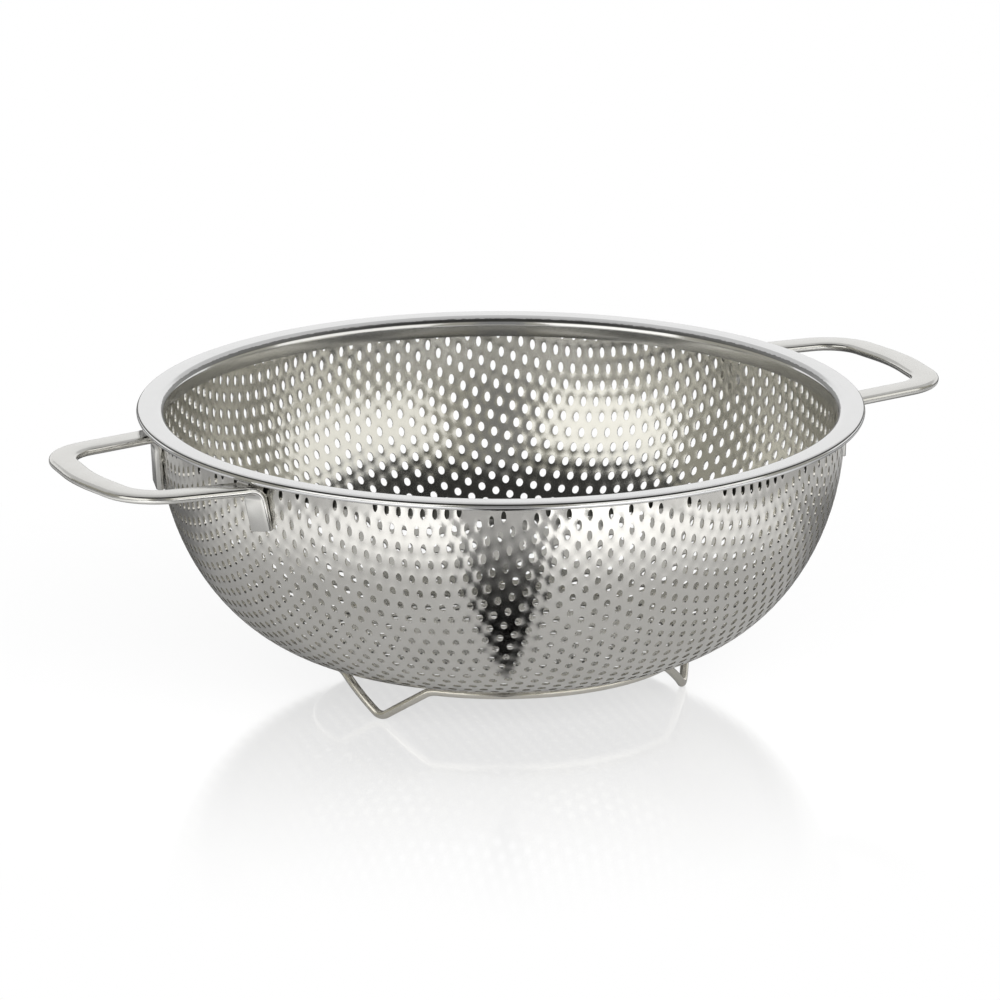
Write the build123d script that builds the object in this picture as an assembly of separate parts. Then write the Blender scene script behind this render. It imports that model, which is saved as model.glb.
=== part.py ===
"""Stainless steel colander: a perforated bowl in a folded rim, two flat bar handles and a bent wire base.

Millimetres, +Z up. The origin is on the ground under the middle of the bowl, and the handles lie along X.
Every round form is drawn with flat facets, so that the facets go to the openings in the bowl.
"""

import math
import os

from build123d import *

# Facets: sides of everything round about the bowl's axis, and chords in each bend of a bar or wire
round_sides = 60
bar_bend_chords = 4
fold_chords = 4
wire_bend_chords = 4
ring_chords = 6
nose_chords = 3
flat_within_share = 1e-6

# Rim: one sheet folded over the edge of the bowl, with a rolled nose and skirt inside and a hem outside
rim_radius = 120.0
rim_height = 94.0
rim_width = 6.7
rim_sheet = 0.6
nose_radius = 3.0
nose_overhang = 2.5
skirt_depth = 7.0
hem_depth = 1.8
hem_corner = 0.5
fit_clearance = 0.1

# Bowl: a flat bottom, an elliptical wall and an upright edge that the rim takes in
bowl_sheet = 0.6
bottom_share = 0.473
bottom_height = 13.2
upright_depth = 6.5
wall_rows = 8

# Holes: a hexagonal grid punched in the flat blank, which the drawing of the bowl stretches
hole_diameter = 2.9
hole_pitch = 5.26
grid_turn_degrees = 17.8

# Openings: each stands for a block of the real holes, this many rows across, with the same share of the sheet open
rows_per_opening = 5
opening_sides = 12
upper_web = 2.0
blank_steps = 200
punch_overrun = 3.0

# Handles: a flat bar bent in its own plane, with both ends folded down onto the wall
bar_width = 9.2
bar_thickness = 2.8
bar_corner = 0.8
bar_drop = 3.6
arm_spread = 35.2
handle_reach = 33.0
fold_radius = 4.2
leg_drop = 19.0
long_leg_drop = 22.6
leg_lean_degrees = 11.0

# Plan of a handle: its corners as shares of the reach and the spread, and how much of a side each bend takes
corner_share = 0.87
corner_spread_share = 0.865
corner_bend_share = 0.4
apex_bend_share = 0.3

# Base: one wire bent to a ring under the bowl, with three V feet
wire_diameter = 2.8
wire_sides = 8
ring_outset = 7.4
foot_count = 3
foot_turn_degrees = 81.5
foot_slope_degrees = 32.0
foot_bend_radius = 4.5
ankle_bend_radius = 8.0

# Worked out from the sizes above
wall_radius = rim_radius - rim_width
bottom_radius = wall_radius * bottom_share
ring_radius = bottom_radius + ring_outset
opening_diameter = hole_diameter * rows_per_opening
opening_pitch = hole_pitch * rows_per_opening
wall_height = rim_height - upright_depth
wall_width_axis = wall_radius - bottom_radius
wall_depth_axis = wall_height - bottom_height


def polar(radius, degrees, height):
    """Point at a radius and an angle about the bowl's axis."""
    angle = math.radians(degrees)
    return Vector(radius * math.cos(angle), radius * math.sin(angle), height)


def panel(corners):
    """Flat face on its corners, or two triangles where four corners aren't in one plane."""
    first, second, third = corners[:3]
    normal = (second - first).cross(third - first).normalized()
    off_plane = max(abs(normal.dot(corner - first)) for corner in corners)
    loops = [corners]
    if len(corners) == 4 and off_plane > flat_within_share * (third - first).length:
        loops = [[first, second, third], [first, third, corners[3]]]
    return [Face(Wire.make_polygon(loop)) for loop in loops]


def skin(sections, closed=False):
    """Solid with flat facets from each section to the next: a ring if closed, and otherwise with two end caps."""
    pairs = list(zip(sections, sections[1:]))
    if closed:
        pairs.append((sections[-1], sections[0]))
    faces = []
    for near, far in pairs:
        for i in range(len(near)):
            j = (i + 1) % len(near)
            faces += panel([near[i], near[j], far[j], far[i]])
    if not closed:
        faces += panel(sections[0]) + panel(sections[-1])
    solid = Solid(Shell(faces))
    return solid if solid.volume > 0 else Solid(-solid.shell())


def wall_point(angle, inset=0.0):
    """Radius and height of the elliptical wall: -90 degrees is its lower end and 0 its widest place."""
    radius = bottom_radius + (wall_width_axis - inset) * math.cos(math.radians(angle))
    height = wall_height + (wall_depth_axis - inset) * math.sin(math.radians(angle))
    return radius, height


def wall_row(row, inset=0.0):
    """Radius and height of the wall at one of the rows of facets, counted up from the bottom."""
    return wall_point(90 * (row / wall_rows - 1), inset)


def nose_height(radius):
    """Height of the underside of the rim's rolled nose."""
    inner_radius = nose_radius - rim_sheet
    across = nose_centre - radius
    return rim_height - nose_radius + math.sqrt(inner_radius**2 - across**2)


# The nose stands in from the wall, and the bowl's edge stops under it
nose_centre = wall_radius - nose_overhang + nose_radius
edge_height = nose_height(wall_radius - bowl_sheet) - fit_clearance


def bowl_blank():
    """The bowl without its openings: facets up the outside, over the edge and down the inside."""
    outside = [wall_row(row) for row in range(wall_rows + 1)] + [(wall_radius, edge_height)]
    inside = [wall_row(row, bowl_sheet) for row in range(wall_rows + 1)]
    inside.append((wall_radius - bowl_sheet, edge_height))
    levels = outside + inside[::-1]
    step = 360 / round_sides
    return skin([[polar(r, step * i, z) for i in range(round_sides)] for r, z in levels])


def drawing():
    """How the blank is drawn: its radius, and the angle on the wall where that ends up, with equal areas."""
    rows = [(bottom_radius, -90.0)]
    for i in range(blank_steps):
        angle = 90 * ((i + 1) / blank_steps - 1)
        start = wall_point(rows[-1][1])
        end = wall_point(angle)
        area = (start[0] + end[0]) * math.dist(start, end)
        rows.append((math.sqrt(rows[-1][0] ** 2 + area), angle))
    return rows


def opening_grid(reach):
    """Centres of the openings within a reach, as radius and degrees in the flat blank."""
    count = math.ceil(2 * reach / opening_pitch)
    centres = []
    for row in range(-count, count + 1):
        for column in range(-count, count + 1):
            x = opening_pitch * (column + row / 2)
            y = opening_pitch * row * math.sin(math.radians(60))
            centres.append((math.hypot(x, y), math.degrees(math.atan2(y, x)) + grid_turn_degrees))
    return [(radius, turn) for radius, turn in centres if radius < reach]


def opening_punch(blank_radius, turn, rows):
    """Tool for one opening, square to the sheet: narrower round the bowl and taller up it, as the blank is drawn."""
    if blank_radius <= bottom_radius:
        radius, height, lean, narrowing = blank_radius, bottom_height, -90.0, 1.0
    else:
        after = next(i for i, row in enumerate(rows) if row[0] > blank_radius)
        (low_radius, low_angle), (high_radius, high_angle) = rows[after - 1], rows[after]
        share = (blank_radius - low_radius) / (high_radius - low_radius)
        angle = low_angle + share * (high_angle - low_angle)
        radius, height = wall_point(angle)
        lean = math.degrees(math.atan2(math.sin(math.radians(angle)) / wall_depth_axis,
                                       math.cos(math.radians(angle)) / wall_width_axis))
        narrowing = radius / blank_radius
    outward = polar(math.cos(math.radians(lean)), turn, math.sin(math.radians(lean)))
    plane = Plane(origin=polar(radius, turn, height), x_dir=polar(1, turn + 90, 0), z_dir=outward)
    corners = []
    for i in range(opening_sides):
        corner = polar(opening_diameter / 2, 360 * i / opening_sides, 0)
        corners.append(plane.from_local_coords(Vector(corner.X * narrowing, corner.Y / narrowing, 0)))
    face = Face(Wire.make_polygon([corner + outward * punch_overrun for corner in corners]))
    return Solid.extrude(face, outward * -(bowl_sheet + 2 * punch_overrun))


def perforated_bowl():
    """The bowl with its openings cut through both faces, up to a web of sheet under its upright edge."""
    rows = drawing()
    reach = rows[-1][0] - upper_web - opening_diameter / 2
    punches = [opening_punch(blank_radius, turn, rows) for blank_radius, turn in opening_grid(reach)]
    return bowl_blank().cut(*punches)


def rim_ring():
    """The folded rim, as one section carried round: skirt, nose, flat top, outer edge, hem and back inside."""
    wall_inside = wall_radius - bowl_sheet
    skirt_end = rim_height - skirt_depth
    skirt_outer = wall_inside - fit_clearance
    hem_inner = wall_radius + fit_clearance
    hem_gap = hem_depth - 2 * rim_sheet
    outside = [(skirt_outer - rim_sheet, skirt_end)]
    inside = [(skirt_outer, skirt_end)]
    for i in range(nose_chords + 1):
        turn = math.radians(90 * i / nose_chords)
        for side, radius in ((outside, nose_radius), (inside, nose_radius - rim_sheet)):
            height = rim_height - nose_radius + radius * math.sin(turn)
            side.append((nose_centre - radius * math.cos(turn), height))
    outside += [
        (rim_radius - hem_corner, rim_height),
        (rim_radius, rim_height - hem_corner),
        (rim_radius, rim_height - hem_depth + hem_corner),
        (rim_radius - hem_corner, rim_height - hem_depth),
        (hem_inner, rim_height - hem_depth),
    ]
    inside += [
        (rim_radius - rim_sheet, rim_height - rim_sheet),
        (rim_radius - rim_sheet, rim_height - rim_sheet - hem_gap),
        (hem_inner, rim_height - rim_sheet - hem_gap),
    ]
    section = outside + inside[::-1]
    step = 360 / round_sides
    return skin([[polar(r, step * i, z) for r, z in section] for i in range(round_sides)], closed=True)


def samples(path, bend_chords, line_chords=1):
    """Places along a path of lines and arcs, as pairs of position and direction."""
    places = []
    for edge in path.edges():
        chords = line_chords if edge.geom_type == GeomType.LINE else bend_chords
        for i in range(chords):
            places.append((edge @ (i / chords), edge % (i / chords)))
    last = path.edges()[-1]
    places.append((last @ 1, last % 1))
    return places


def bar_section(origin, across, upward):
    """The bar's section, a rectangle with its corners taken off, on its middle and its two directions."""
    half_width, half_thickness = bar_width / 2, bar_thickness / 2
    loop = [
        (half_width, half_thickness - bar_corner),
        (half_width - bar_corner, half_thickness),
        (bar_corner - half_width, half_thickness),
        (-half_width, half_thickness - bar_corner),
        (-half_width, bar_corner - half_thickness),
        (bar_corner - half_width, -half_thickness),
        (half_width - bar_corner, -half_thickness),
        (half_width, bar_corner - half_thickness),
    ]
    return [origin + across * x + upward * y for x, y in loop]


def folded_end(drop):
    """Sections of the fold and the leg on the +Y side, from the arm to the leg's end at a depth below the rim.

    The bar folds down onto the wall about a line along the wall, and turns there from the arm's way to the leg's lean.
    """
    upper_radius, upper_height = wall_row(wall_rows)
    lower_radius, lower_height = wall_row(wall_rows - 1)
    wall_tilt = math.atan2(upper_radius - lower_radius, upper_height - lower_height)
    middle_height = rim_height - bar_drop - bar_thickness / 2
    stand_off = (bar_thickness / 2 + fit_clearance) / math.cos(wall_tilt)
    last_fold = math.pi / 2 - wall_tilt
    fold_end_height = middle_height - fold_radius * (1 - math.cos(last_fold))
    fold_end_radius = wall_radius + stand_off - (upper_height - fold_end_height) * math.tan(wall_tilt)
    arm_end_radius = fold_end_radius + fold_radius * math.sin(last_fold)
    leg_length = (fold_end_height - (rim_height - drop)) / math.cos(wall_tilt)
    turn = math.degrees(math.asin(arm_spread / arm_end_radius))
    inward, along, up = polar(-1, turn, 0), polar(1, turn + 90, 0), Vector(0, 0, 1)
    arm_end = polar(arm_end_radius, turn, middle_height)
    arm_way = arm_end - Vector(*handle_corner(), middle_height)
    arm_slip = arm_way.dot(along) / arm_way.dot(inward)
    leg_slip = math.tan(math.radians(leg_lean_degrees))
    sections = []
    slid = 0
    for i in range(fold_chords + 1):
        folded_share = i / fold_chords
        slip = arm_slip + (leg_slip - arm_slip) * folded_share
        slid += fold_radius * last_fold / fold_chords * slip if i else 0
        fold = last_fold * folded_share
        place = arm_end + inward * (fold_radius * math.sin(fold)) - up * (fold_radius * (1 - math.cos(fold)))
        place += along * slid
        onward = inward * math.cos(fold) - up * math.sin(fold)
        direction = (onward + along * slip).normalized()
        upward = up * math.cos(fold) + inward * math.sin(fold)
        sections.append(bar_section(place, upward.cross(direction), upward))
    leg_end = place + (onward + along * slip) * leg_length
    sections.append(bar_section(leg_end, upward.cross(direction), upward))
    return arm_end, sections


def handle_corner():
    """Where an arm meets the end of the handle, before the bend, on the +Y side."""
    return rim_radius + handle_reach * corner_share, arm_spread * corner_spread_share


def bend_radius(before, corner, after, length):
    """Radius of the bend at a corner that takes a given length of each side."""
    side = Vector(*corner) - Vector(*before)
    turn = math.radians(side.get_angle(Vector(*after) - Vector(*corner)))
    return length / math.tan(turn / 2)


def handle(turn):
    """One handle: the plan of the bar between two folded ends, turned about the bowl's axis."""
    arm_end, short_leg = folded_end(leg_drop)
    arm_end, long_leg = folded_end(long_leg_drop)
    start, corner, apex = (arm_end.X, arm_end.Y), handle_corner(), (rim_radius + handle_reach, 0)
    far_corner, end = ((x, -y) for x, y in (corner, start))
    corner_bend = bend_radius(start, corner, apex, corner[1] * corner_bend_share)
    apex_bend = bend_radius(corner, apex, far_corner, corner[1] * apex_bend_share)
    plan = FilletPolyline(start, corner, apex, far_corner, end, radius=[corner_bend, apex_bend, corner_bend])
    up = Vector(0, 0, 1)
    sections = short_leg[:0:-1]
    for place, direction in samples(plan, bar_bend_chords):
        sections.append(bar_section(place + up * arm_end.Z, direction.cross(up), up))
    for section in long_leg[1:]:
        sections.append([Vector(point.X, -point.Y, point.Z) for point in section])
    return skin(sections).rotate(Axis.Z, turn)


def wire_base():
    """The ring and its feet: a third of the wire laid out flat, as length along the ring and height."""
    wire_radius = wire_diameter / 2
    low_radius, low_height = wall_row(0)
    high_radius, high_height = wall_row(1)
    rise = (high_height - low_height) / (high_radius - low_radius)
    ring_height = low_height + (ring_radius - wire_radius - low_radius) * rise - wire_radius
    slope = math.radians(foot_slope_degrees)
    foot_depth = ring_height - wire_radius + foot_bend_radius * (1 / math.cos(slope) - 1)
    foot_half_width = foot_depth / math.tan(slope)
    third = 2 * math.pi * ring_radius / foot_count
    corners = [
        (-third / 2, ring_height),
        (-foot_half_width, ring_height),
        (0, ring_height - foot_depth),
        (foot_half_width, ring_height),
        (third / 2, ring_height),
    ]
    flat = Wire(FilletPolyline(*corners, radius=[ankle_bend_radius, foot_bend_radius, ankle_bend_radius]).edges())
    corner_radius = wire_radius / math.cos(math.pi / wire_sides)
    sections = []
    for foot in range(foot_count):
        for place, direction in samples(flat, wire_bend_chords, ring_chords)[:-1]:
            turn = foot_turn_degrees + 360 * foot / foot_count + math.degrees(place.X / ring_radius)
            outward, along = polar(1, turn, 0), polar(1, turn + 90, 0)
            upward = along * -direction.Y + Vector(0, 0, direction.X)
            middle = polar(ring_radius, turn, place.Y)
            corner_turns = [2 * math.pi * (i + 0.5) / wire_sides for i in range(wire_sides)]
            sections.append([
                middle + outward * (corner_radius * math.cos(a)) + upward * (corner_radius * math.sin(a))
                for a in corner_turns
            ])
    return skin(sections, closed=True)


nodes = {
    "perforated_bowl": perforated_bowl(),
    "rim_ring": rim_ring(),
    "handle_right": handle(0),
    "handle_left": handle(180),
    "wire_base": wire_base(),
}
os.makedirs("parts", exist_ok=True)
for name, solid in nodes.items():
    export_step(solid, f"parts/{name}.step", write_pcurves=False)
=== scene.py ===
"""Looks of a steel colander: a punched bowl, a folded rim, two bar handles and a wire base on three feet.

Sizes are in millimetres, in the frame of the CAD model, and are turned into metres for Blender.
"""

import math

import bpy
import numpy as np
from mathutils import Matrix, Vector


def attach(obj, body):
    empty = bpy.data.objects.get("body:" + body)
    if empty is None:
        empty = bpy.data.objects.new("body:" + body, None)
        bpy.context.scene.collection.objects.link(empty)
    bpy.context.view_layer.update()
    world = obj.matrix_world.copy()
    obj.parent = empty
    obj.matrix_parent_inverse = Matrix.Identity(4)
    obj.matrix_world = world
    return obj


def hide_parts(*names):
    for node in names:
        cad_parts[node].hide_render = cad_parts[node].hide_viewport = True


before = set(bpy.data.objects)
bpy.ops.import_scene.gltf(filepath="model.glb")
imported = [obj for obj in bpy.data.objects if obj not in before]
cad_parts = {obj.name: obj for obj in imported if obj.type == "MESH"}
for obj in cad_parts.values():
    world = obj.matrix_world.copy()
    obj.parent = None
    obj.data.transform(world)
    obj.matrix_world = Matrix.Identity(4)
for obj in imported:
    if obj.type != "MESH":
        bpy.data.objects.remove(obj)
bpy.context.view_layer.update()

MM = 0.001
UP = np.array([0.0, 0.0, 1.0])
WHITE = (1, 1, 1, 1)

# Rim: skirt inside the bowl, rolled nose, flat top, round outer edge and a hem folded back under it
rim_radius = 120.0
rim_height = 94.0
rim_width = 6.7
rim_sheet = 0.6
nose_radius = 3.0
nose_overhang = 2.5
skirt_depth = 7.0
hem_depth = 2.4
fit_clearance = 0.1
rim_turns = 288
nose_step_degrees = 10
outer_step_degrees = 15

# Painted shade on the rim: dark lines along its rolled edge, and in a ragged band where it turns down
# inside
edge_line_width = 0.6
edge_line_depth = 0.5
turn_down_start = 1.9
turn_down_end = 2.7
turn_down_ragged = 0.8
turn_down_tooth = 0.9
turn_down_darkness = 0.75

# Bowl: flat bottom, elliptical wall and an upright edge inside the rim
bowl_sheet = 0.6
bottom_share = 0.473
bottom_height = 13.2
upright_depth = 6.5
tuck_depth = 1.0
hole_diameter = 2.9
hole_pitch = 5.26
grid_turn_degrees = 17.8
hole_points = 12
sheet_swell = 0.15
swell_start_share = 0.45
swell_full_share = 0.85
hole_squeeze_share = 0.25
grid_sector_degrees = 60
profile_steps = 240
merge_digits = 3

# Handles: rounded flat bar, bent in its plane and folded down onto the wall
bar_width = 9.2
bar_thickness = 2.8
bar_rounding = 1.25
bar_drop = 3.6
arm_spread = 35.2
handle_reach = 33.0
fold_radius = 4.2
leg_drop = 19.0
long_leg_drop = 22.6
leg_lean_degrees = 11.0
corner_share = 0.87
corner_spread_share = 0.865
corner_bend_share = 0.4
apex_bend_share = 0.3
cut_rounding = 0.25
fold_chords = 12
bar_bend_chords = 14
rounding_chords = 5

# Base: one round wire, a ring with three V feet
wire_diameter = 2.8
ring_outset = 7.4
foot_count = 3
foot_turn_degrees = 81.5
foot_slope_degrees = 32.0
foot_bend_radius = 4.5
ankle_bend_radius = 8.0
wire_sides = 20
wire_bend_chords = 12

# Rows of facets on the CAD model's wall: the legs lie on its top row and the wire ring on its lowest
wall_rows = 8

# Creases sharper than these stay sharp in the smooth shading
bowl_crease_degrees = 40
fold_crease_degrees = 50

# Camera: seen from in front, a little above, with the handles turned off the picture plane
camera_distance = 3000.0
camera_elevation_degrees = 15.434
camera_turn_degrees = 28.5
camera_aim_height = 61.0
camera_aim_side = -0.27
camera_lens = 327.9
camera_sensor = 36.0
camera_clip_end = 20000.0

# Steel: the fine grain as a share of its mottle, and the turned lines
fine_grain_share = 1 / 12
turned_line_width = 0.22
turned_line_twist = 2.5

# Floor: a wide square, white to the camera
floor_reach = 4000.0
floor_tone = 0.9

# What the camera sees on it: a share of the object's shadow and of its mirror image, fading outwards
shadow_share = 0.14
mirror_share = 0.25
mirror_roughness = 0.085
fade_start = 70.0
fade_end = 270.0

# What the steel sees on it: a wedge of painted shadow that opens and fades towards the camera
wedge_start = 50.0
wedge_slope = 0.27
wedge_soft_edge = 10.0
wedge_lean = 0.025
wedge_flare = 60.0
wedge_flare_start = 300.0
wedge_flare_end = 480.0
wedge_darkness = 1.0
wedge_fading = 0.27
wedge_fade_start = 120.0
wedge_fade_end = 330.0

# Painted shadow on the floor behind the object that fades outwards, and more of it far behind
back_shadow_start = -90.0
back_soft_edge = 190.0
back_darkness = 0.78
back_fading = 0.42
back_fade_start = 215.0
back_fade_end = 335.0
far_shadow_start = 340.0
far_shadow_end = 420.0
far_darkness = 0.85

# Darker floor out to the sides, and a grey round of painted shadow under the object
side_dark_start = 230.0
side_dark_end = 350.0
side_darkness = 0.55
round_fade_start = 150.0
round_fade_end = 290.0
round_darkness = 0.54

# Cards, between places that are given as degrees from the camera, distance and height
ceiling_height = 1100.0
front_distance = 900.0
front_half_width = 150.0
dark_half_width = 1500.0
grey_half_width = 1400.0
pale_half_width = 2000.0
back_half_width = 2500.0
back_foot = (180, 1500.0, 0)
back_top = (180, 1550.0, 760.0)
ceiling_back = (180, 500.0, ceiling_height)
ceiling_middle = (0, 70.0, ceiling_height)
ceiling_front = (0, 1000.0, ceiling_height)
front_foot = (0, front_distance, 0)
front_top = (0, front_distance, ceiling_height)

# Room: white to the camera, warm grey in the steel and plain grey as light
room_seen = (1, 1, 1)
room_in_steel = (0.385, 0.375, 0.325)
room_as_light = (0.50, 0.50, 0.50)

# Lamps: one softbox on each side and a lamp for the floor, which the steel doesn't mirror
left_softbox_degrees = -42.0
right_softbox_degrees = 56.0
softbox_distance = 1200.0
softbox_height = 500.0
softbox_depth = 860.0
left_softbox_width = 1150.0
right_softbox_width = 1500.0
floor_lamp_degrees = 18.0
floor_lamp_distance = 1100.0
floor_lamp_height = 550.0
floor_lamp_width = 1600.0
floor_lamp_depth = 500.0

# Worked out from the sizes above
wall_radius = rim_radius - rim_width
bottom_radius = wall_radius * bottom_share
ring_radius = bottom_radius + ring_outset
wall_height = rim_height - upright_depth
wall_width_axis = wall_radius - bottom_radius
wall_depth_axis = wall_height - bottom_height
nose_centre = wall_radius - nose_overhang + nose_radius


def turned(degrees):
    """Unit vector in the plan, at an angle from +X."""
    return np.array([math.cos(math.radians(degrees)), math.sin(math.radians(degrees)), 0.0])


def unit(vector):
    """The same direction, with a length of 1."""
    return vector / np.linalg.norm(vector)


def piece(name, points, faces, slot, material, nodes, crease_degrees=None):
    """Makes a smooth mesh from points in millimetres, in place of the CAD nodes that it stands for."""
    mesh = bpy.data.meshes.new(name)
    mesh.from_pydata((np.asarray(points) * MM).tolist(), [], [list(map(int, face)) for face in faces])
    mesh.validate()
    mesh.shade_smooth()
    if crease_degrees:
        mesh.set_sharp_from_angle(angle=math.radians(crease_degrees))
    mesh.materials.append(material)
    thing = bpy.data.objects.new(name, mesh)
    bpy.context.scene.collection.objects.link(thing)
    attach(thing, "root")
    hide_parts(*nodes)


def stitched(sections, closed):
    """Points and quads of a tube through equal sections, with two flat ends if it isn't closed."""
    count = len(sections[0])
    points = np.concatenate(sections)
    rings = len(sections)
    faces = []
    for i in range(rings if closed else rings - 1):
        near, far = i * count, (i + 1) % rings * count
        for j in range(count):
            k = (j + 1) % count
            faces.append((near + j, far + j, far + k, near + k))
    if not closed:
        faces.append(tuple(range(count)))
        faces.append(tuple(reversed(range((rings - 1) * count, rings * count))))
    return points, faces


def rounded_path(corners, radii, bend_chords):
    """Points and directions along a line through corners, with an arc at each inner one."""
    corners = [np.asarray(corner, float) for corner in corners]
    places = [(corners[0], unit(corners[1] - corners[0]))]
    for before, corner, after, radius in zip(corners, corners[1:], corners[2:], radii):
        coming, going = unit(corner - before), unit(after - corner)
        turn = math.acos(np.clip(coming @ going, -1, 1))
        start = corner - coming * radius * math.tan(turn / 2)
        side = unit(going - coming * (going @ coming))
        for i in range(bend_chords + 1):
            swept = turn * i / bend_chords
            along = coming * math.sin(swept) + side * (1 - math.cos(swept))
            places.append((start + radius * along, coming * math.cos(swept) + side * math.sin(swept)))
    places.append((corners[-1], unit(corners[-1] - corners[-2])))
    return places


def spaced(places, longest):
    """The same path with more places on its straight stretches."""
    filled = []
    for (start, way), (end, _) in zip(places, places[1:]):
        steps = max(1, math.ceil(np.linalg.norm(end - start) / longest))
        filled += [(start + (end - start) * i / steps, way) for i in range(steps)]
    return filled + [places[-1]]


# The bowl sheet

def wall_profile():
    """The drawn sheet, in rows of blank radius, radius, height and outward normal.

    They run from the middle of the bottom to the edge, and each ring has the same area as in the blank.
    """
    edge_height = rim_height - rim_sheet - tuck_depth
    rows = [(radius, radius, bottom_height, 0.0, -1.0) for radius in (0.0, bottom_radius)]
    for i in range(1, profile_steps + 1):
        angle = math.pi / 2 * (i / profile_steps - 1)
        across, down = math.cos(angle), math.sin(angle)
        radius = bottom_radius + wall_width_axis * across
        height = wall_height + wall_depth_axis * down
        normal = unit(np.array([across / wall_width_axis, down / wall_depth_axis]))
        area = (radius + rows[-1][1]) * math.hypot(radius - rows[-1][1], height - rows[-1][2])
        rows.append((math.sqrt(rows[-1][0] ** 2 + area), radius, height, *normal))
    area = 2 * wall_radius * (edge_height - wall_height)
    rows.append((math.sqrt(rows[-1][0] ** 2 + area), wall_radius, edge_height, 1.0, 0.0))
    return np.array(rows)


def drawn(flat, profile, depth):
    """Carries points of the flat blank onto the bowl, each at a depth inside its outer face."""
    blank_radius = np.hypot(flat[:, 0], flat[:, 1])
    turn = np.arctan2(flat[:, 1], flat[:, 0])
    radius, height, normal_out, normal_up = (
        np.interp(blank_radius, profile[:, 0], profile[:, column]) for column in (1, 2, 3, 4)
    )
    radius = radius - depth * normal_out
    height = height - depth * normal_up
    return np.column_stack([radius * np.cos(turn), radius * np.sin(turn), height])


def hole_centres(reach):
    """Centres of a hexagonal grid of holes in the flat blank, out to a reach."""
    count = math.ceil(2 * reach / hole_pitch)
    row, column = np.meshgrid(np.arange(-count, count + 1), np.arange(-count, count + 1))
    along, aside = turned(grid_turn_degrees), turned(grid_turn_degrees + grid_sector_degrees)
    centres = hole_pitch * (column.reshape(-1, 1) * along[:2] + row.reshape(-1, 1) * aside[:2])
    return centres[np.hypot(centres[:, 0], centres[:, 1]) < reach]


def hole_cells(blank_edge):
    """Outlines of the grid's hexagonal cells and of the hole in each, and which holes clear the edge."""
    centres = hole_centres(blank_edge + hole_pitch / 2)
    turns = grid_turn_degrees + np.arange(hole_points) * 360 / hole_points
    half_sector = grid_sector_degrees / 2
    hexagon = []
    for turn in turns:
        off_middle = (turn - grid_turn_degrees + half_sector) % grid_sector_degrees - half_sector
        hexagon.append(hole_pitch / 2 / math.cos(math.radians(off_middle)) * turned(turn)[:2])
    circle = np.array([hole_diameter / 2 * turned(turn)[:2] for turn in turns])
    cells = centres[:, None, :] + np.array(hexagon)[None]
    reach = np.hypot(centres[:, 0], centres[:, 1])
    around = np.column_stack([-centres[:, 1], centres[:, 0]]) / np.maximum(reach, hole_pitch)[:, None]
    squeeze = hole_squeeze_share * np.interp(reach / blank_edge, (swell_start_share, 1), (0, 1))
    aside = (around @ circle.T * squeeze[:, None])[:, :, None] * around[:, None, :]
    holes = centres[:, None, :] + circle[None] - aside
    cells *= np.minimum(1, blank_edge / np.linalg.norm(cells, axis=2, keepdims=True))
    whole = np.linalg.norm(holes, axis=2).max(1) < blank_edge - rim_sheet
    return cells, holes, whole


def bowl_mesh():
    """Both faces of the punched sheet, which swells inward between its holes, and the holes' walls.

    Each hole has a hexagonal cell of the grid round it, and the sheet is the cells joined together.
    """
    profile = wall_profile()
    blank_edge = profile[-1, 0]
    cells, holes, whole = hole_cells(blank_edge)
    merged, index = np.unique(np.round(cells.reshape(-1, 2), merge_digits), axis=0, return_inverse=True)
    index = index.reshape(len(cells), hole_points)
    punched = np.flatnonzero(whole)
    rims = len(merged) + np.arange(len(punched) * hole_points).reshape(-1, hole_points)
    flat = np.vstack([merged, holes[punched].reshape(-1, 2)])
    skin = len(flat)
    spread = np.hypot(flat[:, 0], flat[:, 1]) / blank_edge
    swell = sheet_swell * np.interp(spread, (swell_start_share, swell_full_share), (0, 1))
    swell[len(merged):] = 0
    points = np.vstack([drawn(flat, profile, swell), drawn(flat, profile, swell + bowl_sheet)])

    faces = []
    for row, cell in enumerate(punched):
        for i in range(hole_points):
            j = (i + 1) % hole_points
            outer, inner = (index[cell, i], index[cell, j]), (rims[row, i], rims[row, j])
            faces.append((outer[0], outer[1], inner[1], inner[0]))
            faces.append((inner[0] + skin, inner[1] + skin, outer[1] + skin, outer[0] + skin))
            faces.append((inner[0], inner[1], inner[1] + skin, inner[0] + skin))
    for cell in np.flatnonzero(~whole):
        loop = list(dict.fromkeys(index[cell]))
        if len(loop) > 2:
            faces.append(tuple(loop))
            faces.append(tuple(point + skin for point in reversed(loop)))
    return points, faces


# The folded rim

def rim_mesh():
    """The rim's sheet: a line through the middle of its thickness, given two faces and carried round.

    Each place on the line has a radius, a height and the way across the sheet there.
    """
    half = rim_sheet / 2
    skirt = wall_radius - bowl_sheet - fit_clearance - half
    top, under = rim_height - half, rim_height - hem_depth + half
    roll = (top - under) / 2
    nose = nose_radius - half
    line = [(skirt, rim_height - skirt_depth, -1.0, 0.0)]
    for degrees in range(180, 90 - 1, -nose_step_degrees):
        x, y = math.cos(math.radians(degrees)), math.sin(math.radians(degrees))
        line.append((nose_centre + nose * x, rim_height - nose_radius + nose * y, x, y))
    for degrees in range(90, -90 - 1, -outer_step_degrees):
        x, y = math.cos(math.radians(degrees)), math.sin(math.radians(degrees))
        line.append((rim_radius - half - roll + roll * x, rim_height - half - roll + roll * y, x, y))
    line.append((wall_radius + fit_clearance, under, 0.0, -1.0))
    outer = [(r + half * x, z + half * y) for r, z, x, y in line]
    inner = [(r - half * x, z - half * y) for r, z, x, y in line]
    section = outer + inner[::-1]
    sections = []
    for i in range(rim_turns):
        way = turned(360 * i / rim_turns)
        sections.append(np.array([way * r + UP * z for r, z in section]))
    return stitched(sections, closed=True)


# The handles

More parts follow.
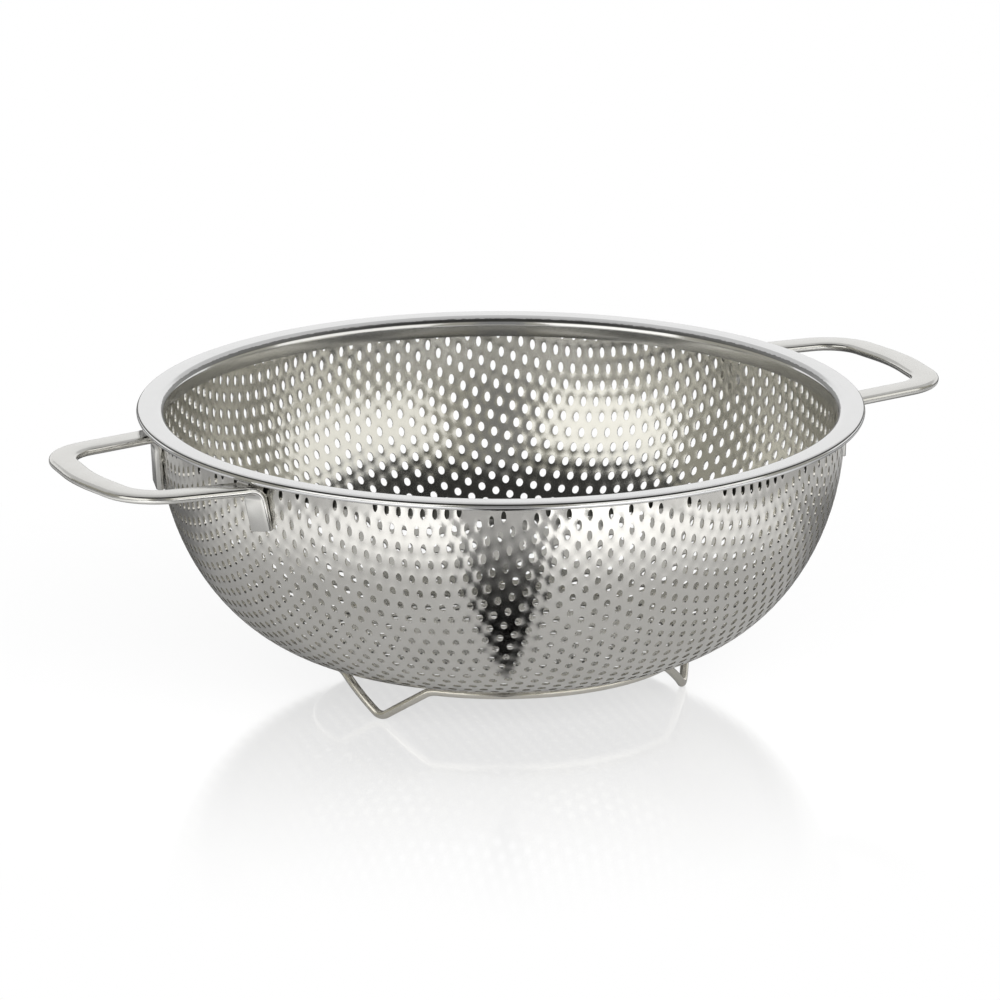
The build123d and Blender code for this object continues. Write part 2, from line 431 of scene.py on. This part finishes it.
def bar_section(middle, across, upward, shrink=0.0):
    """A rounded rectangle about the bar's middle."""
    half_width, half_thickness = bar_width / 2 - shrink, bar_thickness / 2 - shrink
    rounding = bar_rounding - shrink
    loop = []
    for x, y, first in ((1, 1, 0), (-1, 1, 90), (-1, -1, 180), (1, -1, 270)):
        for step in range(rounding_chords + 1):
            angle = math.radians(first + 90 * step / rounding_chords)
            off_across = x * (half_width - rounding) + rounding * math.cos(angle)
            off_upward = y * (half_thickness - rounding) + rounding * math.sin(angle)
            loop.append(middle + across * off_across + upward * off_upward)
    return np.array(loop)


def wall_point(degrees):
    """Radius and height of the elliptical wall: -90 degrees is its lower end and 0 its widest place."""
    radius = bottom_radius + wall_width_axis * math.cos(math.radians(degrees))
    return radius, wall_height + wall_depth_axis * math.sin(math.radians(degrees))


def folded_end(drop):
    """The bar's fold and leg on the +Y side: sections from the arm down to the cut end."""
    upper_radius, upper_height = wall_point(0)
    lower_radius, lower_height = wall_point(-90 / wall_rows)
    wall_tilt = math.atan2(upper_radius - lower_radius, upper_height - lower_height)
    middle_height = rim_height - bar_drop - bar_thickness / 2
    stand_off = (bar_thickness / 2 + fit_clearance) / math.cos(wall_tilt)
    last_fold = math.pi / 2 - wall_tilt
    fold_end_height = middle_height - fold_radius * (1 - math.cos(last_fold))
    fold_end_radius = wall_radius + stand_off - (upper_height - fold_end_height) * math.tan(wall_tilt)
    arm_end_radius = fold_end_radius + fold_radius * math.sin(last_fold)
    leg_length = (fold_end_height - (rim_height - drop)) / math.cos(wall_tilt)
    turn = math.degrees(math.asin(arm_spread / arm_end_radius))
    inward, along = -turned(turn), turned(turn + 90)
    arm_end = turned(turn) * arm_end_radius + UP * middle_height
    corner = np.array([*handle_corner(), middle_height])
    arm_way = arm_end - corner
    arm_slip = (arm_way @ along) / (arm_way @ inward)
    leg_slip = math.tan(math.radians(leg_lean_degrees))
    sections, slid = [], 0.0
    for i in range(fold_chords + 1):
        share = i / fold_chords
        fold = last_fold * share
        slip = arm_slip + (leg_slip - arm_slip) * share
        slid += fold_radius * last_fold / fold_chords * slip if i else 0
        place = arm_end + inward * fold_radius * math.sin(fold)
        place = place - UP * fold_radius * (1 - math.cos(fold)) + along * slid
        onward = inward * math.cos(fold) - UP * math.sin(fold)
        direction = unit(onward + along * slip)
        upward = UP * math.cos(fold) + inward * math.sin(fold)
        sections.append(bar_section(place, np.cross(upward, direction), upward))
    leg_way = onward + along * slip
    across = np.cross(upward, direction)
    leg_end = place + leg_way * leg_length
    sections.append(bar_section(leg_end - direction * cut_rounding, across, upward))
    sections.append(bar_section(leg_end, across, upward, cut_rounding))
    return arm_end, sections


def handle_corner():
    """Where an arm meets the end of the handle, before the bend, on the +Y side."""
    return rim_radius + handle_reach * corner_share, arm_spread * corner_spread_share


def bend_radius(before, corner, after, length):
    """Radius of the bend at a corner that takes a given length of each side."""
    coming, going = unit(np.subtract(corner, before)), unit(np.subtract(after, corner))
    return length / math.tan(math.acos(coming @ going) / 2)


def handle_mesh(turn):
    """One handle: the bent bar between its short leg on one side and its long leg on the other."""
    arm_end, short_leg = folded_end(leg_drop)
    long_leg = folded_end(long_leg_drop)[1]
    start, corner, apex = arm_end[:2], handle_corner(), (rim_radius + handle_reach, 0)
    far_corner, end = ((x, -y) for x, y in (corner, start))
    corner_bend = bend_radius(start, corner, apex, corner[1] * corner_bend_share)
    apex_bend = bend_radius(corner, apex, far_corner, corner[1] * apex_bend_share)
    corners = [np.array([x, y, arm_end[2]]) for x, y in (start, corner, apex, far_corner, end)]
    sections = short_leg[:0:-1]
    for place, way in rounded_path(corners, [corner_bend, apex_bend, corner_bend], bar_bend_chords):
        sections.append(bar_section(place, np.cross(way, UP), UP))
    sections += [section * (1, -1, 1) for section in long_leg[1:]]
    points, faces = stitched(sections, closed=False)
    cosine, sine = math.cos(math.radians(turn)), math.sin(math.radians(turn))
    return points @ np.array([[cosine, sine, 0], [-sine, cosine, 0], [0, 0, 1]]), faces


# The wire base

def wire_mesh():
    """The ring and feet: one third of the wire laid out flat, then wrapped round and repeated."""
    wire_radius = wire_diameter / 2
    low_radius, low_height = wall_point(-90)
    high_radius, high_height = wall_point(-90 * (wall_rows - 1) / wall_rows)
    rise = (high_height - low_height) / (high_radius - low_radius)
    ring_height = low_height + (ring_radius - wire_radius - low_radius) * rise - wire_radius
    slope = math.radians(foot_slope_degrees)
    depth = ring_height - wire_radius + foot_bend_radius * (1 / math.cos(slope) - 1)
    half_foot = depth / math.tan(slope)
    third = 2 * math.pi * ring_radius / foot_count
    corners = [
        (-third / 2, ring_height),
        (-half_foot, ring_height),
        (0, ring_height - depth),
        (half_foot, ring_height),
        (third / 2, ring_height),
    ]
    radii = [ankle_bend_radius, foot_bend_radius, ankle_bend_radius]
    angles = 2 * math.pi * np.arange(wire_sides) / wire_sides
    flat = spaced(rounded_path(corners, radii, wire_bend_chords), wire_radius)
    sections = []
    for foot in range(foot_count):
        for (length, height), (forward, climb) in flat[:-1]:
            turn = foot_turn_degrees + 360 * foot / foot_count + math.degrees(length / ring_radius)
            outward, along = turned(turn), turned(turn + 90)
            upward = UP * forward - along * climb
            middle = outward * ring_radius + UP * height
            around = np.outer(np.cos(angles), outward) + np.outer(np.sin(angles), upward)
            sections.append(middle + wire_radius * around)
    return stitched(sections, closed=True)


# Shader maths

class Shade:
    """A socket in a node tree, so that shader maths is written as Python expressions."""

    def __init__(self, tree, socket=None):
        self.tree, self.socket = tree, socket

    def node(self, kind, settings=(), sockets=(), output=0):
        """Adds a node: its settings first, then the values or links of its sockets."""
        node = self.tree.nodes.new(kind)
        for name, value in dict(settings).items():
            setattr(node, name, value)
        for name, value in dict(sockets).items():
            if isinstance(value, Shade):
                self.tree.links.new(value.socket, node.inputs[name])
            else:
                node.inputs[name].default_value = value
        return Shade(self.tree, node.outputs[output] if node.outputs else None)

    def maths(self, operation, *values):
        """A Math node's result."""
        return self.node("ShaderNodeMath", {"operation": operation}, dict(enumerate(values)))

    def __add__(self, other):
        return self.maths("ADD", self, other)

    def __sub__(self, other):
        return self.maths("SUBTRACT", self, other)

    def __mul__(self, other):
        return self.maths("MULTIPLY", self, other)

    def __rsub__(self, other):
        return self.maths("SUBTRACT", other, self)

    __radd__ = __add__
    __rmul__ = __mul__

    def above(self, limit):
        """1 where this value is greater than a limit, and 0 elsewhere."""
        return self.maths("GREATER_THAN", self, limit)

    def below(self, limit):
        """1 where this value is less than a limit, and 0 elsewhere."""
        return self.maths("LESS_THAN", self, limit)

    def or_larger(self, other):
        """This value or another, whichever is the larger."""
        return self.maths("MAXIMUM", self, other)

    def rise(self, start, end):
        """0 where this value is below the start, 1 above the end and smooth between them."""
        return self.node("ShaderNodeMapRange", {"interpolation_type": "SMOOTHSTEP"}, {
            "Value": self, "From Min": start, "From Max": end,
        })

    def vector(self, operation, *values, output="Vector"):
        """This vector with a vector operation done to it."""
        sockets = dict(enumerate([self, *values]))
        return self.node("ShaderNodeVectorMath", {"operation": operation}, sockets, output)

    def length(self):
        """How long this vector is."""
        return self.vector("LENGTH", output="Value")

    def dot(self, other):
        """The dot product of this vector and another."""
        return self.vector("DOT_PRODUCT", other, output="Value")

    def mix(self, low, high):
        """A colour between two, by this value: sockets 6 and 7 of the node are its two colours."""
        low, high = (end if isinstance(end, Shade) else (*end, 1) for end in (low, high))
        return self.node("ShaderNodeMix", {"data_type": "RGBA"}, {0: self, 6: low, 7: high}, output=2)


def new_material(name):
    """An empty material, and a start for the nodes of its tree."""
    material = bpy.data.materials.new(name)
    material.use_nodes = True
    material.node_tree.nodes.clear()
    return material, Shade(material.node_tree)


def place_mm(make):
    """Where a point of the object is, in millimetres."""
    place = make.node("ShaderNodeTexCoord", output="Object")
    return make.node("ShaderNodeVectorMath", {"operation": "SCALE"}, {0: place, "Scale": 1 / MM})


def noise(make, place, size, detail):
    """Noise from 0 to 1 with a size in millimetres."""
    return make.node("ShaderNodeTexNoise", {}, {"Vector": place, "Scale": 1 / size, "Detail": detail})


def facing(make, outward):
    """More than 0 where the surface faces along a direction, and less where it faces the other way."""
    return outward.dot(make.node("ShaderNodeNewGeometry", output="Normal"))


# The steel

def hollow_side(make, place):
    """1 on the faces that look towards the middle of the bowl's mouth, and 0 on the others."""
    return facing(make, place.vector("SUBTRACT", (0, 0, wall_height))).below(0)


def painted_rim_shade_mask(make, place):
    """1 where the folded rim has painted shade, and 0 elsewhere.

    That is the back of its skirt, seen through the bowl's holes, a line along its rolled edge and a
    ragged band where it turns down, all painted dark and dull.
    """
    flat = place.vector("MULTIPLY", (1, 1, 0))
    radius = flat.length()
    height = place.dot((0, 0, 1))
    behind = radius.below(wall_radius - bowl_sheet / 2) * facing(make, flat).above(0)
    edge = radius.above(rim_radius - edge_line_width) * height.above(rim_height - edge_line_depth)
    ragged = radius + turn_down_ragged * (0.5 - noise(make, place, turn_down_tooth, detail=2.0))
    inside = radius.above(nose_centre - turn_down_end) * ragged.below(nose_centre - turn_down_start)
    inside = turn_down_darkness * inside * height.above(rim_height - nose_radius)
    return behind.or_larger(edge).or_larger(inside)


def turned_lines(make, place):
    """Fine lines from turning, from 0 to 1: noise drawn out round the object's axis."""
    split = make.node("ShaderNodeSeparateXYZ", {}, {0: place})
    x, y, z = (Shade(make.tree, split.socket.node.outputs[axis]) for axis in range(3))
    radius = make.maths("SQRT", x * x + y * y)
    turn = make.maths("ARCTAN2", y, x)
    rings = make.node("ShaderNodeCombineXYZ", {}, {0: radius, 1: turn * turned_line_twist, 2: z})
    return noise(make, rings, turned_line_width, detail=3.0)


def steel(
    name, pale, deep, roughness, grain, mottle_size, wave_size, wave_height, line_height=0.0, second=None
):
    """Stainless steel: a tint that drifts, a fine grain in its gloss, a slow wave and lines from turning.

    A second finish says where it is, from 0 to 1, and gives its own tints and roughness: the bowl's
    inside finish and the rim's painted shade.
    """
    material, make = new_material(name)
    place = place_mm(make)
    mottle = noise(make, place, mottle_size, detail=4.0)
    fine = noise(make, place, mottle_size * fine_grain_share, detail=2.0)
    tint = mottle.mix(deep, pale)
    gloss = roughness + grain * (fine + mottle - 1)
    if second:
        share = second["where"](make, place)
        tint = share.mix(tint, mottle.mix(second["deep"], second["pale"]))
        gloss = gloss + share * (second["roughness"] - roughness)
    height = wave_height * noise(make, place, wave_size, detail=1.0)
    if line_height:
        lines = turned_lines(make, place)
        height = height + line_height * lines
        gloss = gloss + grain * (lines - 0.5)
    bump = make.node("ShaderNodeBump", {}, {"Strength": 1.0, "Distance": MM, "Height": height})
    shader = make.node("ShaderNodeBsdfPrincipled", {}, {
        "Base Color": tint,
        "Metallic": 1.0,
        "Roughness": gloss,
        "Normal": bump,
    })
    make.node("ShaderNodeOutputMaterial", {}, {"Surface": shader})
    return material


inside_finish = {
    "where": hollow_side,
    "pale": (0.725, 0.715, 0.672),
    "deep": (0.605, 0.595, 0.55),
    "roughness": 0.19,
}
# Painted shade on the rim: the skirt's back, its rolled edge and where it turns down are painted dark and
# dull
painted_rim_shade = {
    "where": painted_rim_shade_mask,
    "pale": (0.10, 0.10, 0.09),
    "deep": (0.05, 0.05, 0.045),
    "roughness": 0.4,
}
bowl_steel = steel(
    "drawn_bowl_steel", pale=(0.70, 0.69, 0.66), deep=(0.60, 0.585, 0.55), roughness=0.17, grain=0.06,
    mottle_size=9.0, wave_size=26.0, wave_height=0.03, second=inside_finish,
)
# The rim's steel, with painted shade on it
rim_steel = steel(
    "folded_rim_steel", pale=(0.76, 0.76, 0.76), deep=(0.70, 0.70, 0.695), roughness=0.13, grain=0.04,
    mottle_size=6.0, wave_size=30.0, wave_height=0.01, line_height=0.0012, second=painted_rim_shade,
)
bar_steel = steel(
    "bent_bar_steel", pale=(0.72, 0.715, 0.69), deep=(0.62, 0.61, 0.58), roughness=0.17, grain=0.06,
    mottle_size=5.0, wave_size=8.0, wave_height=0.02,
)
wire_steel = steel(
    "base_wire_steel", pale=(0.76, 0.74, 0.68), deep=(0.66, 0.63, 0.56), roughness=0.20, grain=0.06,
    mottle_size=4.0, wave_size=6.0, wave_height=0.015,
)

piece("punched_bowl", *bowl_mesh(), "bowl_steel", bowl_steel, ["perforated_bowl"], bowl_crease_degrees)
piece("folded_rim", *rim_mesh(), "rim_steel", rim_steel, ["rim_ring"], fold_crease_degrees)
piece("bar_handle_right", *handle_mesh(0), "bar_steel", bar_steel, ["handle_right"], fold_crease_degrees)
piece("bar_handle_left", *handle_mesh(180), "bar_steel", bar_steel, ["handle_left"], fold_crease_degrees)
piece("bent_wire_base", *wire_mesh(), "wire_steel", wire_steel, ["wire_base"])


# The studio

def from_camera(degrees, distance, height):
    """A place round the object: 0 degrees is the camera's side, and it counts to the camera's right."""
    return turned(degrees - 90 - camera_turn_degrees) * distance + UP * height


def aim(origin, target):
    """Rotation that points -Z from one place to another."""
    return (Vector(target) - Vector(origin)).to_track_quat("-Z", "Y").to_euler()


def staged(name, corners, material):
    """A flat sheet of the studio through its corners."""
    mesh = bpy.data.meshes.new(name)
    places = [(np.asarray(corner) * MM).tolist() for corner in corners]
    mesh.from_pydata(places, [], [range(len(corners))])
    mesh.materials.append(material)
    thing = bpy.data.objects.new(name, mesh)
    bpy.context.scene.collection.objects.link(thing)
    return thing


# The floor

def painted_floor_shadow(make, place, away):
    """How dark the floor is to the steel, from 0 to 1: wedge, back and round of painted shadow, and
    darker sides.
    """
    forward = place.dot(from_camera(0, 1, 0).tolist())
    backward = 0 - forward
    aside = place.dot(from_camera(90, 1, 0).tolist())
    aside = make.maths("ABSOLUTE", aside - wedge_lean * forward)
    flare = wedge_flare * forward.rise(wedge_flare_start, wedge_flare_end)
    wedge = ((forward - wedge_start) * wedge_slope + flare - aside).rise(0, wedge_soft_edge)
    wedge = wedge * (wedge_darkness - wedge_fading * forward.rise(wedge_fade_start, wedge_fade_end))
    behind = backward.rise(back_shadow_start, back_shadow_start + back_soft_edge)
    behind = behind * (back_darkness - back_fading * away.rise(back_fade_start, back_fade_end))
    beyond = far_darkness * backward.rise(far_shadow_start, far_shadow_end)
    beside = side_darkness * aside.rise(side_dark_start, side_dark_end)
    under = round_darkness * (1 - away.rise(round_fade_start, round_fade_end))
    return wedge.or_larger(behind).or_larger(under).or_larger(beyond).or_larger(beside)


def either(make, factor, first, second):
    """One surface or another, or a share of each."""
    return make.node("ShaderNodeMixShader", {}, {0: factor, 1: first, 2: second})


def floor_material():
    """White to the camera with a faint shadow and mirror image of the object; paper with painted shadow
    to the steel.
    """
    material, make = new_material("pale_floor")
    place = place_mm(make)
    away = place.length()
    darkness = painted_floor_shadow(make, place, away)
    # The steel sees the paper darkened by the painted shadow
    paper = make.node("ShaderNodeBsdfDiffuse", {}, {"Color": darkness.mix([floor_tone] * 3, [0] * 3)})
    glow = make.node("ShaderNodeEmission", {}, {"Color": WHITE, "Strength": 1.0})
    white = make.node("ShaderNodeBsdfDiffuse", {}, {"Color": (*[floor_tone] * 3, 1)})
    mirror = make.node("ShaderNodeBsdfGlossy", {}, {"Color": WHITE, "Roughness": mirror_roughness})
    near = 1 - away.rise(fade_start, fade_end)
    shaded = either(make, near * shadow_share, glow, white)
    surface = either(make, near * mirror_share, shaded, mirror)
    seen = make.node("ShaderNodeLightPath", output="Is Camera Ray")
    make.node("ShaderNodeOutputMaterial", {}, {"Surface": either(make, seen, paper, surface)})
    return material


floor_corners = [(x * floor_reach, y * floor_reach, 0) for x, y in ((-1, -1), (1, -1), (1, 1), (-1, 1))]
staged("floor", floor_corners, floor_material())


# The cards

def card(name, near, far, near_half, far_half, level):
    """A card square to the camera's way that only the steel sees: dark, or shining at a plain level.

    It runs from one place to another, with its half width at each.
    """
    material, make = new_material(name)
    glow = make.node("ShaderNodeEmission", {}, {"Color": WHITE, "Strength": level})
    make.node("ShaderNodeOutputMaterial", {}, {"Surface": glow})
    aside = from_camera(90, 1, 0)
    corners = []
    for place, half_width, sides in ((near, near_half, (-1, 1)), (far, far_half, (1, -1))):
        corners += [from_camera(*place) + aside * half_width * side for side in sides]
    thing = staged(name, corners, material)
    thing.visible_camera = thing.visible_diffuse = thing.visible_shadow = False


card("white_back_card", back_foot, back_top, back_half_width, back_half_width, level=1.0)
card("dark_front", front_foot, front_top, front_half_width, front_half_width, level=0.25)
card("dark_above", ceiling_front, ceiling_middle, dark_half_width, dark_half_width, level=0.03)
card("grey_above", ceiling_middle, ceiling_back, grey_half_width, grey_half_width, level=0.55)
card("pale_above", ceiling_back, back_top, pale_half_width, back_half_width, level=0.65)


# The room

world = bpy.data.worlds.new("studio")
bpy.context.scene.world = world
world.use_nodes = True
world.node_tree.nodes.clear()
air = Shade(world.node_tree)
seen = air.node("ShaderNodeLightPath", output="Is Camera Ray")
lighting = air.node("ShaderNodeLightPath", output="Is Diffuse Ray")
room = seen.mix(lighting.mix(room_in_steel, room_as_light), room_seen)
sky = air.node("ShaderNodeBackground", {}, {"Color": room, "Strength": 1.0})
air.node("ShaderNodeOutputWorld", {}, {"Surface": sky})


# The lamps

def lamp(name, centre, width, depth, power):
    """A flat lamp aimed at the middle of the bowl's mouth."""
    light = bpy.data.lights.new(name, "AREA")
    light.shape = "RECTANGLE"
    light.size, light.size_y = width * MM, depth * MM
    light.energy = power
    thing = bpy.data.objects.new(name, light)
    bpy.context.scene.collection.objects.link(thing)
    thing.location = (centre * MM).tolist()
    thing.rotation_euler = aim(centre, UP * rim_height)
    return thing


left = from_camera(left_softbox_degrees, softbox_distance, softbox_height)
right = from_camera(right_softbox_degrees, softbox_distance, softbox_height)
front = from_camera(floor_lamp_degrees, floor_lamp_distance, floor_lamp_height)
lamp("left_softbox", left, left_softbox_width, softbox_depth, power=3.1)
lamp("right_softbox", right, right_softbox_width, softbox_depth, power=3.2)
floor_lamp = lamp("floor_lamp", front, floor_lamp_width, floor_lamp_depth, power=30.0)
floor_lamp.visible_glossy = False


# The camera

lens = bpy.data.cameras.new("view")
lens.lens, lens.sensor_width = camera_lens, camera_sensor
lens.clip_end = camera_clip_end * MM
view = bpy.data.objects.new("view", lens)
bpy.context.scene.collection.objects.link(view)
elevation = math.radians(camera_elevation_degrees)
eye_distance, eye_rise = camera_distance * math.cos(elevation), camera_distance * math.sin(elevation)
eye = from_camera(0, eye_distance, rim_height + eye_rise)
view.location = (eye * MM).tolist()
view.rotation_euler = aim(eye, from_camera(90, camera_aim_side, camera_aim_height))
bpy.context.scene.camera = view
bpy.context.scene.view_settings.view_transform = "Standard"
